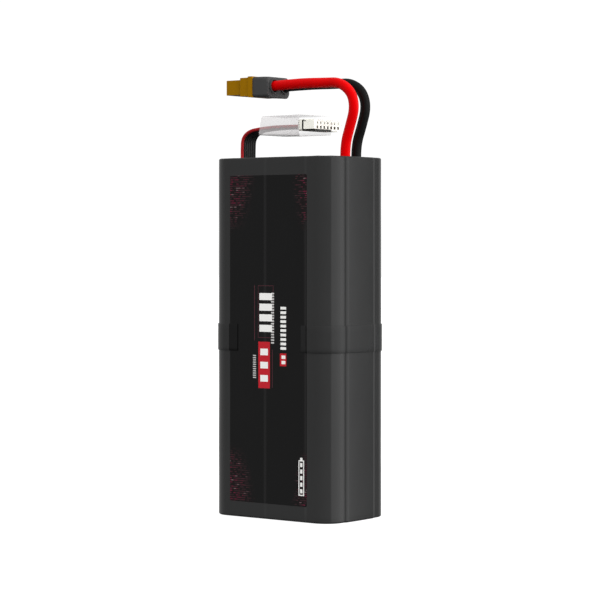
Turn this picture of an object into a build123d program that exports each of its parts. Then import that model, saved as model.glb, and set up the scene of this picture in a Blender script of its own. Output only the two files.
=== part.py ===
from build123d import *
import math
import os

# Battery pack of twelve 21700 cells, six in series and two in parallel, in a shrink sleeve.
# Frame: millimetres, +Z up, origin at the centre of the base.  The cells stand in three
# columns along X and two rows along Y, in a lower and an upper layer.
# -Y is the labelled face.  The leads leave the top face.

# ---------------------------------------------------------------- driving dimensions
HEIGHT = 157.0            # the wrapped body, base to top
WIDTH = 65.7              # the body along X, without its raised side boards
DEPTH = 43.0              # the body along Y
CORNER_R = 8.7            # upright corners of the body
END_ROUND = 0.7           # rounded edge of each end
SIDE_RISE = 0.7           # how far a side board lifts the sleeve
SIDE_HALF = 11.1          # half the width of that raised strip
SIDE_ROUND = 0.8          # its rounded upright edges
WRAP_T = 0.35             # heat-shrink sleeve
LIP = 2.9                 # sleeve folded over each end
LIP_CORNER_R = 5.0

BAND_BOTTOM = 72.6        # tape band round the middle
BAND_TOP = 84.4
BAND_T = 0.4
BAND_OPEN_HALF = 17.5     # half the gap it leaves across the label

LABEL_LEFT = -21.95
LABEL_RIGHT = 20.4
LABEL_BOTTOM = 6.8
LABEL_TOP = 149.2
LABEL_T = 0.12
LABEL_CORNER_R = 0.6

CELL_COLUMNS = 3
CELL_ROWS = 2
CELL_PITCH = 21.14
CELL_LENGTH = 70.0
CAN_R = 10.45
CAN_T = 0.25
CAN_BASE_T = 0.3
SLEEVE_T = 0.11
RIM_R = 8.6               # opening inside the crimped rim
BEAD_R = 9.9              # rolled groove under the rim
BEAD_BOTTOM = 65.2
BEAD_TOP = 66.6
BEAD_SLOPE = 0.4          # height over which the groove's sides slope
CAP_R = 8.3
CAP_GAP = 0.6             # gasket under the cap's rim
CAP_RIM_T = 0.8
CAP_BUTTON_R = 5.0
CAP_FOOT = 0.8            # how much wider the button is at its foot
RING_GAP = 1.0            # paper ring clear of the button
RING_T = 0.2              # paper ring on the positive end
CORE_R = 10.0
CORE_BORE_R = 1.5
CORE_BOTTOM = 0.6
CORE_TOP = 64.6

PLATE_T = 1.6             # end plates
SHEET_T = 0.2             # insulating sheets under the strips
SHEET_GAP = 1.5           # from the body's faces in to a sheet's edge
STRIP_T = 0.2             # nickel strip
STRIP_HALF = 4.0          # half the strip's width
FOLD_EXTRA = 4.0          # how much further back a folded strip reaches
PAD_MARGIN = 3.0          # widened part of the last strip, beyond the leads' axes
MID_SHEET_T = 0.6
MID_SHEET_GAP = 0.8
NOTCH_CLEARANCE = 1.0     # each side of a strip that folds round the middle sheet
BOARD_T = 1.6             # tap board on top of the upper cells
BOARD_GAP = 2.0           # from the body's faces in to the board and the foam
BOARD_CORNER_R = 3.0
FOAM_CORNER_R = 4.0
FOAM_CLEARANCE = 0.6      # around a lead in the foam
RETURN_RISE = 4.6         # return lead's crossing over the board
FIT_GAP = 0.05            # loose fit between stacked flat pieces and the sleeve

LEAD_D = 4.4              # main leads
LEAD_Y = 4.0              # red lead at -Y, black lead at +Y
LEAD_EXIT_X = 28.0
TAP_D = 1.4               # balance wires
TAP_COUNT = 7
TAP_PITCH = 1.42          # side by side in the ribbon
PLUG_PITCH = 2.5          # in the plug
TAP_EXIT_X = -29.2
HOLE_CLEARANCE = 0.1      # around a lead, on its radius

AXIS_Z = 189.1            # main connector's axis, along X
SOCKET_Y = 3.6
SOCKET_BORE_R = 1.75
SOCKET_R = 2.15
SOCKET_DEPTH = 12.0
SOCKET_INSET = 0.5        # socket's mouth behind the nose's face
NOSE_FRONT = -35.95
NOSE_BACK = -28.1
BODY_BACK = -22.8
FLANGE_BACK = -20.5
NOSE_HALF = (7.0, 3.3)    # half width and half height of each part
BODY_HALF = (7.9, 4.15)
FLANGE_HALF = (8.2, 4.6)
NOSE_KEY = 1.9            # the cut-off long edges that key the connector
BODY_KEY = 2.1
SHOULDER = 0.8
FLANGE_ROUND = 0.4
BOOT_BACK = -10.8
BOOT_SIZE = (15.6, 8.9)   # rear cover at the flange, width and height
BOOT_END_SIZE = (15.8, 9.3)
BOOT_R = 2.0
BOOT_END_R = 3.2
BOOT_DROP = 0.1           # its middle below the connector's axis
BOOT_END_DROP = 0.5
BOOT_CAVITY = (13.6, 6.9)
BOOT_CAVITY_R = 1.5
BOOT_END_T = 2.2
COLLAR_Y = 3.8
COLLAR_RISE = 0.1
COLLAR_LENGTH = 0.8
COLLAR_T = 1.1
COLLAR_GAP = 0.5          # around the lead
COLLAR_BORE_FRONT = -16.8
CUP_FRONT = -19.9         # where a socket widens into its solder cup
CUP_BACK = -14.6          # solder cups' open ends, where the leads end
CUP_R = 2.5
CUP_BORE_R = 2.0
CUP_DEPTH = 4.5
CUP_OVER = 0.4            # length of a lead's route beyond its square end

PLUG_BACK = 6.4
PLUG_FRONT = 15.55
PLUG_HALF = 9.9
PLUG_BOTTOM = 168.6
PLUG_TOP = 173.4
PLUG_SKIRT = 0.7          # sloped lower edges
PLUG_EDGE = 0.25          # cut upper edges
RIB_Y = 8.6               # guide ribs on top
RIB_HALF = 0.5
RIB_RISE = 0.2
RIB_BACK = 6.8
RIB_FRONT = 13.15
PANEL_BACK = 11.0         # shallow recess in each side face
PANEL_FRONT = 14.25
PANEL_DEPTH = 0.25
PANEL_MARGIN = 0.8
CAVITY_HALF = 0.8         # the ways' cavities
CAVITY_BOTTOM = 169.4
CAVITY_TOP = 171.6
LATCH_HALF = 0.4          # slot over each way in the mating face
LATCH_DEPTH = 2.2
LATCH_BOTTOM = 171.9
LATCH_TOP = 172.8
TAP_Z = 170.8             # wire height at the plug
MOUTH_FRONT = 8.9         # end of the round mouths behind the cavities
CONTACT_HALF = 0.7
CONTACT_GAP = 0.1         # contact under and over, in its cavity
CONTACT_T = 0.25
CONTACT_BORE_BACK = 11.4
CONTACT_FRONT = 14.35

CLEAR_START = -14.6       # clear sleeve over the ribbon and the plug's back
CLEAR_END = 9.2
CLEAR_T = 0.4
CLEAR_START_Z = (167.2, 175.6)       # bottom and top at each end
CLEAR_END_Z = (166.0, 175.3)
CLEAR_START_R = 3.2
CLEAR_END_R = 2.0

# ---------------------------------------------------------------- levels worked out
COLUMN_X = [(i - (CELL_COLUMNS - 1) / 2) * CELL_PITCH for i in range(CELL_COLUMNS)]
ROW_Y = [(j - (CELL_ROWS - 1) / 2) * CELL_PITCH for j in range(CELL_ROWS)]
BOTTOM_STRIP_Z = PLATE_T + SHEET_T
LOWER_Z = BOTTOM_STRIP_Z + STRIP_T
LOWER_TOP = LOWER_Z + CELL_LENGTH
MID_SHEET_Z = LOWER_TOP + STRIP_T
UPPER_LEG_Z = MID_SHEET_Z + MID_SHEET_T
UPPER_Z = UPPER_LEG_Z + STRIP_T
UPPER_TOP = UPPER_Z + CELL_LENGTH
TOP_SHEET_Z = UPPER_TOP + STRIP_T
BOARD_Z = TOP_SHEET_Z + SHEET_T
FOAM_Z = BOARD_Z + BOARD_T
TOP_PLATE_Z = HEIGHT - PLATE_T
RETURN_X = (COLUMN_X[0] + COLUMN_X[1]) / 2     # channel between four cells
RETURN_LEVEL = FOAM_Z + RETURN_RISE            # where the return lead crosses to its exit
STRIP_REACH = CELL_PITCH / 2 + STRIP_HALF      # end of a strip along Y
FOLD_Y = STRIP_REACH + FOLD_EXTRA              # back of the folded strips

os.makedirs("parts", exist_ok=True)


def save(name, shape):
    """Write one named sub-part."""
    shape.label = name
    export_step(shape, f"parts/{name}.step")


def group(solids):
    """Several separate solids kept in one node."""
    return Compound(children=list(solids))


def block(x0, x1, y0, y1, z0, z1):
    """Box between two corners."""
    centre = ((x0 + x1) / 2, (y0 + y1) / 2, (z0 + z1) / 2)
    return Pos(*centre) * Box(x1 - x0, y1 - y0, z1 - z0)


def rod(x, y, z0, z1, r):
    """Upright cylinder."""
    return Pos(x, y, (z0 + z1) / 2) * Cylinder(r, z1 - z0)


def rod_x(y, z, x0, x1, r):
    """Cylinder along X."""
    return Pos((x0 + x1) / 2, y, z) * Rot(0, 90, 0) * Cylinder(r, x1 - x0)


def across_x(x, y, z):
    """Plane across X, its own x along +Y."""
    return Plane(origin=(x, y, z), x_dir=(0, 1, 0), z_dir=(1, 0, 0))


def rounded_block(width, depth, r, z0, z1):
    """Upright block with rounded corners, centred on the Z axis."""
    return Pos(0, 0, z0) * extrude(RectangleRounded(width, depth, r), z1 - z0)


def body_solid(inset, z0, z1, end_round=0.0):
    """The pack's outer shape, moved inwards by inset: a rounded block with a raised strip each side."""
    main = rounded_block(WIDTH - 2 * inset, DEPTH - 2 * inset, CORNER_R - inset, z0, z1)
    strip_half_x = WIDTH / 2 + SIDE_RISE - inset
    strip = rounded_block(2 * strip_half_x, 2 * (SIDE_HALF - inset), SIDE_ROUND, z0, z1)
    if end_round:
        ends = [z0, z1]
        main = fillet([e for e in main.edges() if e.center().Z in ends], end_round)
        strip = fillet([e for e in strip.edges() if e.center().Z in ends], end_round)
    return main + strip


# ---------------------------------------------------------------- sleeve, band, label, ends

def make_wrap():
    """Heat-shrink sleeve with its edges folded over both ends."""
    cavity = body_solid(WRAP_T, WRAP_T, HEIGHT - WRAP_T)
    return body_solid(0, 0, HEIGHT, END_ROUND) - cavity - end_window(0, HEIGHT)


def end_window(z0, z1):
    """The opening that the folded lip leaves at an end."""
    width = WIDTH + 2 * SIDE_RISE - 2 * LIP
    return rounded_block(width, DEPTH - 2 * LIP, LIP_CORNER_R, z0, z1)


def make_label():
    """Printed film on the flat front face."""
    front = -DEPTH / 2
    film = block(LABEL_LEFT, LABEL_RIGHT, front - LABEL_T, front, LABEL_BOTTOM, LABEL_TOP)
    return fillet(film.edges().filter_by(Axis.Y), LABEL_CORNER_R)


def make_band():
    """Tape round the back and both sides, its ends on the label's edges."""
    outer = body_solid(-BAND_T, BAND_BOTTOM, BAND_TOP)
    front = -DEPTH / 2 - BAND_T
    gap = block(-BAND_OPEN_HALF, BAND_OPEN_HALF, front - 1, 0, BAND_BOTTOM - 1, BAND_TOP + 1)
    return outer - body_solid(0, BAND_BOTTOM - 1, BAND_TOP + 1) - gap - make_label()


def plate_flange(z0, z1):
    """The part of an end plate or sheet that reaches under the sleeve's lip."""
    return body_solid(WRAP_T + FIT_GAP, z0, z1)


def make_bottom_plate():
    """End plate, rebated so that the folded lip lies flush round it."""
    tread = end_window(0, PLATE_T)
    return tread + plate_flange(WRAP_T, PLATE_T)


def tap_y(i, pitch=TAP_PITCH):
    """Where balance wire i lies across the ribbon."""
    return (i - (TAP_COUNT - 1) / 2) * pitch


def tap_slot(z0, z1):
    """Slot for the seven balance wires."""
    half_x = TAP_D / 2 + HOLE_CLEARANCE
    half_y = tap_y(TAP_COUNT - 1) + TAP_D / 2 + HOLE_CLEARANCE
    return block(TAP_EXIT_X - half_x, TAP_EXIT_X + half_x, -half_y, half_y, z0, z1)


def make_top_plate():
    """End plate with the lead holes and the ribbon's slot."""
    plate = end_window(TOP_PLATE_Z, HEIGHT) + plate_flange(TOP_PLATE_Z, HEIGHT - WRAP_T)
    for y in (-LEAD_Y, LEAD_Y):
        plate -= rod(LEAD_EXIT_X, y, TOP_PLATE_Z - 1, HEIGHT + 1, LEAD_D / 2 + HOLE_CLEARANCE)
    return plate - tap_slot(TOP_PLATE_Z - 1, HEIGHT + 1)


def make_side_board(side):
    """Glass-fibre board between a column of cells and the sleeve."""
    inner = CELL_PITCH * CELL_COLUMNS / 2
    outer = WIDTH / 2 + SIDE_RISE - WRAP_T
    half = SIDE_HALF - WRAP_T
    board = block(inner, outer, -half, half, PLATE_T, TOP_PLATE_Z)
    board = fillet(board.edges().filter_by(Axis.Z).sort_by(Axis.X)[-2:], SIDE_ROUND)
    return board if side > 0 else mirror(board, Plane.YZ)


# ---------------------------------------------------------------- one cell, upright, from Z = 0

def turned(points):
    """Solid of revolution about Z from a closed outline of (radius, height) points."""
    outline = Plane.XZ * make_face(Polyline(*points, close=True))
    return revolve(outline, Axis.Z)


def cell_can():
    """Steel can with its rolled groove and crimped rim."""
    top = CELL_LENGTH - RING_T
    inner = CAN_R - CAN_T
    bead_inner = BEAD_R - CAN_T
    outer_line = [(0, 0), (CAN_R, 0), (CAN_R, BEAD_BOTTOM), (BEAD_R, BEAD_BOTTOM + BEAD_SLOPE)]
    outer_line += [(BEAD_R, BEAD_TOP - BEAD_SLOPE), (CAN_R, BEAD_TOP), (CAN_R, top), (RIM_R, top)]
    inner_line = [(RIM_R, top - CAN_T), (inner, top - CAN_T), (inner, BEAD_TOP)]
    inner_line += [(bead_inner, BEAD_TOP - BEAD_SLOPE), (bead_inner, BEAD_BOTTOM + BEAD_SLOPE)]
    inner_line += [(inner, BEAD_BOTTOM), (inner, CAN_BASE_T), (0, CAN_BASE_T)]
    return turned(outer_line + inner_line)


def cell_core():
    """Wound electrodes with the hole left by the winding pin."""
    return rod(0, 0, CORE_BOTTOM, CORE_TOP, CORE_R) - rod(0, 0, 0, CELL_LENGTH, CORE_BORE_R)


def cell_gasket():
    """Seal that insulates the cap from the crimped rim."""
    top = CELL_LENGTH - RING_T - CAN_T
    inner = CAN_R - CAN_T
    return turned([(CAP_R, BEAD_TOP), (inner, BEAD_TOP), (inner, top), (CAP_R, top)])


def cell_cap():
    """Positive cap with its raised contact."""
    base = BEAD_TOP + CAP_GAP
    rim = base + CAP_RIM_T
    points = [(0, base), (CAP_R, base), (CAP_R, rim), (CAP_BUTTON_R + CAP_FOOT, rim)]
    return turned(points + [(CAP_BUTTON_R, CELL_LENGTH), (0, CELL_LENGTH)])


def cell_sleeve():
    """Film sleeve round the can, a little short of its top edge."""
    top = CELL_LENGTH - RING_T
    return rod(0, 0, 0, top, CAN_R + SLEEVE_T) - rod(0, 0, -1, top + 1, CAN_R)


def cell_ring():
    """Paper ring on the crimped rim."""
    low = CELL_LENGTH - RING_T
    return rod(0, 0, low, CELL_LENGTH, CAN_R) - rod(0, 0, low - 1, CELL_LENGTH + 1, CAP_BUTTON_R + RING_GAP)


def cell_places():
    """Every cell's place, lower layer first: columns 1 and 3 stand positive end up, column 2 down."""
    places = []
    for level in (LOWER_Z, UPPER_Z):
        for column, x in enumerate(COLUMN_X):
            for y in ROW_Y:
                place = Pos(x, y, level)
                if column == 1:
                    place = Pos(x, y, level + CELL_LENGTH) * Rot(180, 0, 0)
                places.append(place)
    return places


# ---------------------------------------------------------------- strips, sheets, boards

def strip_pair(x, z):
    """Nickel strip along Y that joins a parallel pair."""
    return block(x - STRIP_HALF, x + STRIP_HALF, -STRIP_REACH, STRIP_REACH, z, z + STRIP_T)


def strip_bridge(x0, x1, y, z):
    """Nickel strip along X from one column to the next."""
    return block(x0, x1, y - STRIP_HALF, y + STRIP_HALF, z, z + STRIP_T)


def strip_joined(left, right, z):
    """One nickel piece that joins two neighbouring columns."""
    piece = strip_pair(COLUMN_X[left], z) + strip_pair(COLUMN_X[right], z)
    for y in ROW_Y:
        piece += strip_bridge(COLUMN_X[left], COLUMN_X[right], y, z)
    return piece


def strip_mid(x):
    """Strip folded round the middle sheet, from the lower pair's tops to the upper pair's bases."""
    left, right = x - STRIP_HALF, x + STRIP_HALF
    lower = block(left, right, -STRIP_REACH, FOLD_Y, LOWER_TOP, MID_SHEET_Z)
    upper = block(left, right, -STRIP_REACH, FOLD_Y, UPPER_LEG_Z, UPPER_Z)
    back = block(left, right, FOLD_Y - STRIP_T, FOLD_Y, LOWER_TOP, UPPER_Z)
    return lower + upper + back


def make_mid_sheet():
    """Sheet between the two layers, notched where the strips fold round its back edge."""
    depth = DEPTH - 2 * MID_SHEET_GAP
    sheet = rounded_block(WIDTH - 2 * SHEET_GAP, depth, CORNER_R - MID_SHEET_GAP, MID_SHEET_Z, UPPER_LEG_Z)
    half = STRIP_HALF + NOTCH_CLEARANCE
    near = FOLD_Y - STRIP_T - FIT_GAP
    for x in COLUMN_X:
        sheet -= block(x - half, x + half, near, DEPTH, MID_SHEET_Z - 1, UPPER_Z)
    return sheet - rod(RETURN_X, 0, MID_SHEET_Z - 1, UPPER_Z, LEAD_D / 2 + HOLE_CLEARANCE)


def make_bottom_strip_negative():
    """First pair's strip, with a tongue to the foot of the return lead."""
    tongue = strip_bridge(COLUMN_X[0], RETURN_X + LEAD_D / 2, 0, BOTTOM_STRIP_Z)
    return strip_pair(COLUMN_X[0], BOTTOM_STRIP_Z) + tongue


def make_top_strip_positive():
    """Last pair's strip, widened under the red lead."""
    x = COLUMN_X[-1]
    half = LEAD_Y + PAD_MARGIN
    pad = block(x, LEAD_EXIT_X + LEAD_D / 2, -half, half, UPPER_TOP, TOP_SHEET_Z)
    return strip_pair(x, UPPER_TOP) + pad


def lead_holes(z0, z1):
    """Room for the red riser and the return lead through a board over the upper cells."""
    r = LEAD_D / 2 + HOLE_CLEARANCE
    return rod(LEAD_EXIT_X, -LEAD_Y, z0, z1, r) + rod(RETURN_X, 0, z0, z1, r)


def insulating_sheet(z0, z1):
    """Flat sheet under or over the cells."""
    return rounded_block(WIDTH - 2 * SHEET_GAP, DEPTH - 2 * SHEET_GAP, CORNER_R - SHEET_GAP, z0, z1)


def board_block(r, z0, z1):
    """Upright block as wide and deep as the tap board."""
    return rounded_block(WIDTH - 2 * BOARD_GAP, DEPTH - 2 * BOARD_GAP, r, z0, z1)


def make_top_sheet():
    """Insulating sheet over the top strips."""
    return insulating_sheet(TOP_SHEET_Z, BOARD_Z) - lead_holes(TOP_SHEET_Z - 1, BOARD_Z + 1)


def make_tap_board():
    """Circuit board that gathers the seven tap points."""
    return board_block(BOARD_CORNER_R, BOARD_Z, FOAM_Z) - lead_holes(BOARD_Z - 1, FOAM_Z + 1)


def make_top_foam():
    """Foam block between the board and the top plate, cut out round the leads."""
    foam = board_block(FOAM_CORNER_R, FOAM_Z, TOP_PLATE_Z)
    half = LEAD_D / 2 + FOAM_CLEARANCE
    trench = block(RETURN_X - half, LEAD_EXIT_X + half, -half, LEAD_Y + half, RETURN_LEVEL - half, HEIGHT)
    shaft = block(RETURN_X - half, RETURN_X + 2 * half, -half, LEAD_Y + half, FOAM_Z - 1, HEIGHT)
    riser = rod(LEAD_EXIT_X, -LEAD_Y, FOAM_Z - 1, HEIGHT, half)
    return foam - trench - shaft - riser - tap_slot(FOAM_Z - 1, HEIGHT)


# ---------------------------------------------------------------- leads

def tube_along(points, diameter, radii):
    """Round tube along straight runs joined by tangent arcs."""
    path = FilletPolyline(*points, radius=radii)
    section = Plane(origin=path @ 0, z_dir=path % 0) * Circle(diameter / 2)
    return sweep(section, path=path), path.length


def route_radii(points):
    """Arc radius for each corner: 0.45 of its shorter run over the tangent of half the turn."""
    radii = []
    for a, b, c in zip(points, points[1:], points[2:]):
        run_in = Vector(*b) - Vector(*a)
        run_out = Vector(*c) - Vector(*b)
        half_turn = math.radians(run_in.get_angle(run_out)) / 2
        radii.append(0.45 * min(run_in.length, run_out.length) / math.tan(half_turn))
    return radii


def cord_tube(name, points, diameter):
    """A free cord's tube, with its radii, length and volume printed."""
    radii = route_radii(points)
    solid, length = tube_along(points, diameter, radii)
    ideal = math.pi * diameter**2 / 4 * length
    print(name, "radii", [round(r, 1) for r in radii], "length", round(length, 2),
          "volume / section x length", round(solid.volume / ideal, 4))
    return solid


def square_end(tube):
    """Cut a main lead square where it meets its solder cup."""
    side = 2 * LEAD_D
    return tube - block(CUP_BACK - LEAD_D, CUP_BACK, -side, side, AXIS_Z - side, AXIS_Z + side)


# Main leads: straight up out of the top, leaning outwards, then over to the connector.  Each
# route ends CUP_OVER inside its cup and the tube is cut square there.
RED_ROUTE = [
    (LEAD_EXIT_X, -LEAD_Y, HEIGHT),
    (LEAD_EXIT_X, -4.0, 162.5),
    (30.6, -4.0, 170.2),
    (33.1, -4.0, 178.2),
    (31.2, -4.0, 185.0),
    (25.0, -4.0, 189.3),
    (17.0, -4.0, 189.45),
    (1.6, -4.0, 189.9),
    (CUP_BACK - CUP_OVER, -SOCKET_Y, AXIS_Z),
]
BLACK_ROUTE = [
    (LEAD_EXIT_X, LEAD_Y, HEIGHT),
    (LEAD_EXIT_X, 4.0, 162.4),
    (30.9, 4.0, 170.3),
    (33.4, 4.0, 178.4),
    (31.4, 4.1, 185.3),
    (25.1, 4.2, 189.4),
    (17.0, 4.2, 189.3),
    (1.6, 4.0, 189.6),
    (CUP_BACK - CUP_OVER, SOCKET_Y, AXIS_Z),
]


def tap_route(i):
    """Balance wire i: up out of the slot, over, and fanning out to its way in the plug."""
    near = tap_y(i)
    far = tap_y(i, PLUG_PITCH)
    spread = far - near
    return [
        (TAP_EXIT_X, near, HEIGHT),
        (TAP_EXIT_X, near, 161.5),
        (-28.9, near, 166.7),
        (-25.1, near + 0.01 * spread, 169.7),
        (-18.5, near + 0.08 * spread, 170.5),
        (-10.0, near + 0.45 * spread, 170.9),
        (-1.4, far, TAP_Z),
        (PLUG_BACK, far, TAP_Z),
    ]


def make_return_lead():
    """Black lead inside the pack: from the first strip up the channel, across, and up to the exit."""
    points = [
        (RETURN_X, 0, LOWER_Z),
        (RETURN_X, 0, RETURN_LEVEL),
        (LEAD_EXIT_X, LEAD_Y, RETURN_LEVEL),
        (LEAD_EXIT_X, LEAD_Y, HEIGHT),
    ]
    return tube_along(points, LEAD_D, [LEAD_D, LEAD_D])[0]


def tap_ends():
    """The balance wires inside the pack, from the board to the top face."""
    return [rod(TAP_EXIT_X, tap_y(i), FOAM_Z, HEIGHT, TAP_D / 2) for i in range(TAP_COUNT)]


# ---------------------------------------------------------------- main connector

def keyed_block(x0, x1, half, key):
    """Block along X with the two long edges of its +Y side cut off, the connector's keying."""
    half_y, half_z = half
    body = block(x0, x1, -half_y, half_y, AXIS_Z - half_z, AXIS_Z + half_z)
    return chamfer(body.edges().filter_by(Axis.X).sort_by(Axis.Y)[-2:], key)


def make_connector_housing():
    """Yellow nylon housing: nose, body and rear flange, bored for two sockets."""
    nose = keyed_block(NOSE_FRONT, NOSE_BACK, NOSE_HALF, NOSE_KEY)
    body = keyed_block(NOSE_BACK, BODY_BACK, BODY_HALF, BODY_KEY)
    body = chamfer(body.faces().sort_by(Axis.X)[0].edges().filter_by(Axis.Y), SHOULDER)
    flange = keyed_block(BODY_BACK, FLANGE_BACK, FLANGE_HALF, BODY_KEY)
    flange = fillet(flange.faces().sort_by(Axis.X)[0].edges().filter_by(Axis.Y), FLANGE_ROUND)
    housing = nose + body + flange
    for y in (-SOCKET_Y, SOCKET_Y):
        housing -= rod_x(y, AXIS_Z, NOSE_FRONT - 1, FLANGE_BACK + 1, SOCKET_R)
    return housing


def make_socket(y):
    """Gold-plated socket: an open bore in front, a wall, and a solder cup behind."""
    front = NOSE_FRONT + SOCKET_INSET
    socket = rod_x(y, AXIS_Z, front, CUP_FRONT, SOCKET_R) + rod_x(y, AXIS_Z, CUP_FRONT, CUP_BACK, CUP_R)
    socket -= rod_x(y, AXIS_Z, front - 1, front + SOCKET_DEPTH, SOCKET_BORE_R)
    return socket - rod_x(y, AXIS_Z, CUP_BACK - CUP_DEPTH, CUP_BACK + 1, CUP_BORE_R)


def make_boot():
    """Grey rear cover over the solder cups, with a collar round each lead."""
    end = BOOT_BACK - COLLAR_LENGTH
    front = across_x(FLANGE_BACK, 0, AXIS_Z - BOOT_DROP) * RectangleRounded(*BOOT_SIZE, BOOT_R)
    back = across_x(end, 0, AXIS_Z - BOOT_END_DROP) * RectangleRounded(*BOOT_END_SIZE, BOOT_END_R)
    shell = loft([front, back])
    cavity = across_x(FLANGE_BACK, 0, AXIS_Z) * RectangleRounded(*BOOT_CAVITY, BOOT_CAVITY_R)
    shell -= extrude(cavity, BOOT_BACK - BOOT_END_T - FLANGE_BACK)
    z = AXIS_Z + COLLAR_RISE
    for y in (-COLLAR_Y, COLLAR_Y):
        shell += rod_x(y, z, end - COLLAR_GAP, BOOT_BACK, LEAD_D / 2 + COLLAR_T)
    for y in (-COLLAR_Y, COLLAR_Y):
        shell -= rod_x(y, z, COLLAR_BORE_FRONT, BOOT_BACK + 1, LEAD_D / 2 + COLLAR_GAP)
    return shell


# ---------------------------------------------------------------- balance plug

def make_plug_housing():
    """White seven-way plug: a cavity per wire, a latch slot above each, and guide ribs."""
    body = block(PLUG_BACK, PLUG_FRONT, -PLUG_HALF, PLUG_HALF, PLUG_BOTTOM, PLUG_TOP)
    body = chamfer(body.edges().filter_by(Axis.X).group_by(Axis.Z)[-1], PLUG_EDGE)
    body = chamfer(body.edges().filter_by(Axis.X).group_by(Axis.Z)[0], PLUG_SKIRT)
    for side in (-1, 1):
        rib_y = side * RIB_Y
        body += block(RIB_BACK, RIB_FRONT, rib_y - RIB_HALF, rib_y + RIB_HALF, CAVITY_TOP, PLUG_TOP + RIB_RISE)
        low_y, high_y = sorted((side * (PLUG_HALF - PANEL_DEPTH), side * (PLUG_HALF + 1)))
        body -= block(PANEL_BACK, PANEL_FRONT, low_y, high_y, PLUG_BOTTOM + PANEL_MARGIN, PLUG_TOP - PANEL_MARGIN)
    for i in range(TAP_COUNT):
        y = tap_y(i, PLUG_PITCH)
        body -= block(PLUG_BACK - 1, PLUG_FRONT + 1, y - CAVITY_HALF, y + CAVITY_HALF, CAVITY_BOTTOM, CAVITY_TOP)
        body -= block(PLUG_FRONT - LATCH_DEPTH, PLUG_FRONT + 1, y - LATCH_HALF, y + LATCH_HALF,
                      LATCH_BOTTOM, LATCH_TOP)
    return body


def make_plug_contact(i):
    """Crimped box contact in way i of the plug, its crimp barrel flush with the plug's back."""
    y = tap_y(i, PLUG_PITCH)
    z0, z1 = CAVITY_BOTTOM + CONTACT_GAP, CAVITY_TOP - CONTACT_GAP
    half = CONTACT_HALF - CONTACT_T
    tube = block(MOUTH_FRONT, CONTACT_FRONT, y - CONTACT_HALF, y + CONTACT_HALF, z0, z1)
    tube -= block(CONTACT_BORE_BACK, PLUG_FRONT, y - half, y + half, z0 + CONTACT_T, z1 - CONTACT_T)
    return tube + rod_x(y, TAP_Z, PLUG_BACK, MOUTH_FRONT, TAP_D / 2)


# ---------------------------------------------------------------- clear sleeve

def clear_section(x, levels, r, inset):
    """Section of the clear sleeve across X, moved inwards by inset."""
    z0, z1 = levels
    width = 2 * (PLUG_HALF + CLEAR_T - inset)
    return across_x(x, 0, (z0 + z1) / 2) * RectangleRounded(width, z1 - z0 - 2 * inset, r - inset)


def clear_block(inset):
    """The clear sleeve's shape without its hollow, moved inwards by inset."""
    return loft([clear_section(CLEAR_START, CLEAR_START_Z, CLEAR_START_R, inset),
                 clear_section(CLEAR_END, CLEAR_END_Z, CLEAR_END_R, inset)])


def make_clear_sleeve():
    """Clear sleeve from the ribbon to the back of the plug, a little deeper at the plug."""
    return clear_block(0.0) - clear_block(CLEAR_T)


# ---------------------------------------------------------------- write every sub-part

save("shrink_wrap", make_wrap())
save("label_film", make_label())
save("mid_band", make_band())
save("bottom_end_plate", make_bottom_plate())
save("top_end_plate", make_top_plate())
save("side_board_left", make_side_board(-1))
save("side_board_right", make_side_board(1))

PLACES = cell_places()
for number, place in enumerate(PLACES, start=1):
    save(f"cell_can_{number:02d}", place * cell_can())
save("cell_cores", group([place * cell_core() for place in PLACES]))
save("cell_gaskets", group([place * cell_gasket() for place in PLACES]))
save("cell_caps", group([place * cell_cap() for place in PLACES]))
save("cell_sleeves", group([place * cell_sleeve() for place in PLACES]))
save("cell_ring_insulators", group([place * cell_ring() for place in PLACES]))

save("bottom_sheet", insulating_sheet(PLATE_T, BOTTOM_STRIP_Z))
save("mid_sheet", make_mid_sheet())
save("top_sheet", make_top_sheet())
save("strip_bottom_negative", make_bottom_strip_negative())
save("strip_bottom_link", strip_joined(1, 2, BOTTOM_STRIP_Z))
for number, x in enumerate(COLUMN_X, start=1):
    save(f"strip_mid_{number}", strip_mid(x))
save("strip_top_link", strip_joined(0, 1, UPPER_TOP))
save("strip_top_positive", make_top_strip_positive())
save("tap_board", make_tap_board())
save("top_foam", make_top_foam())

save("inner_lead_negative", make_return_lead())
save("inner_lead_positive", rod(LEAD_EXIT_X, -LEAD_Y, TOP_SHEET_Z, HEIGHT, LEAD_D / 2))
save("inner_tap_wires", group(tap_ends()))
save("main_lead_red", square_end(cord_tube("main_lead_red", RED_ROUTE, LEAD_D)))
save("main_lead_black", square_end(cord_tube("main_lead_black", BLACK_ROUTE, LEAD_D)))
for number in range(TAP_COUNT):
    name = f"balance_wire_{number}"
    save(name, cord_tube(name, tap_route(number), TAP_D))

save("connector_housing", make_connector_housing())
save("connector_boot", make_boot())
save("connector_socket_positive", make_socket(-SOCKET_Y))
save("connector_socket_negative", make_socket(SOCKET_Y))
save("balance_plug_housing", make_plug_housing())
save("balance_plug_contacts", group([make_plug_contact(i) for i in range(TAP_COUNT)]))
save("clear_sleeve", make_clear_sleeve())
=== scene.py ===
import math

import bmesh
import bpy
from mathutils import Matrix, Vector, noise


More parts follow.
